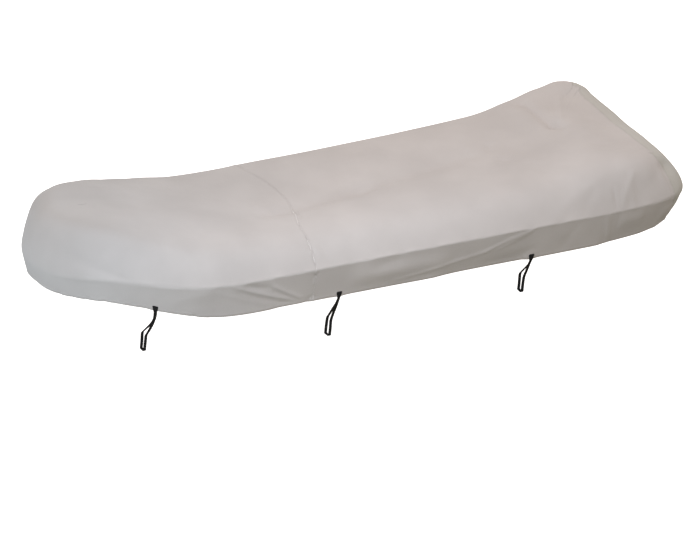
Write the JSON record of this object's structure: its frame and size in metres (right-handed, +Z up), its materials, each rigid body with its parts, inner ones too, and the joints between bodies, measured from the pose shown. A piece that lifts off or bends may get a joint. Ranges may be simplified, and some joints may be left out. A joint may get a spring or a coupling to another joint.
{
  "type": "boat cover",
  "caption": "Fitted cloth cover for an inflatable boat, hollow and open underneath, with a raised bow and stern and webbing tie loops along its hem.",
  "frame": {"origin": "under the cloth's top on the centre line, 2.0 m aft of the stem, where the covered boat holds it up", "axes": "+X aft along the cover, +Y to starboard, +Z up"},
  "size_m": [4.035, 1.4466, 0.8688],
  "materials": {
    "bow_cloth": "pale grey coated plain-weave polyester, matt",
    "main_cloth": "pale warm grey coated plain-weave polyester, matt",
    "stern_cloth": "pale grey coated plain-weave polyester, matt",
    "black_webbing": "black ribbed polypropylene webbing, matt"
  },
  "bodies": {
    "root": {"bow_panel": "bow_cloth", "main_panel": "main_cloth", "stern_panel": "stern_cloth", "tie_tab_port_1": "black_webbing", "tie_strap_port_1": "black_webbing", "tie_tab_port_2": "black_webbing", "tie_strap_port_2": "black_webbing", "tie_tab_port_3": "black_webbing", "tie_strap_port_3": "black_webbing", "tie_tab_starboard_1": "black_webbing", "tie_strap_starboard_1": "black_webbing", "tie_tab_starboard_2": "black_webbing", "tie_strap_starboard_2": "black_webbing", "tie_tab_starboard_3": "black_webbing", "tie_strap_starboard_3": "black_webbing"}
  },
  "joints": []
}
